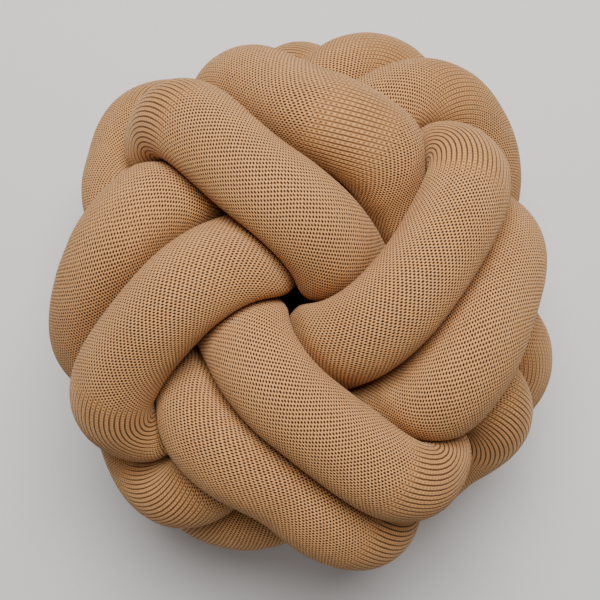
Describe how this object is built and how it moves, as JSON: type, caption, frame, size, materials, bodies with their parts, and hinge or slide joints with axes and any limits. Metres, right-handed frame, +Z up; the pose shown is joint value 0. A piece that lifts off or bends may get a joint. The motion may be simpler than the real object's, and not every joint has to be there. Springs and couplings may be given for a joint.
{
  "type": "knot cushion",
  "caption": "Ball-shaped cushion woven from stuffed, finely knitted tubes that pass over and under each other in doubled bands, with a small flat spot to rest on.",
  "frame": {"origin": "on the surface the ball rests on, under the middle of its bounding box", "axes": "+Z up out of the side that faces the camera in the picture, where four doubled bands frame the middle; +X to the picture's right and +Y to the picture's top"},
  "size_m": [0.2936, 0.3222, 0.2706],
  "materials": {
    "knit": "matte, finely ribbed tan knit with a little fuzz"
  },
  "bodies": {
    "root": {"tube_1": "knit", "tube_2": "knit", "tube_3": "knit", "tube_4": "knit"}
  },
  "joints": []
}
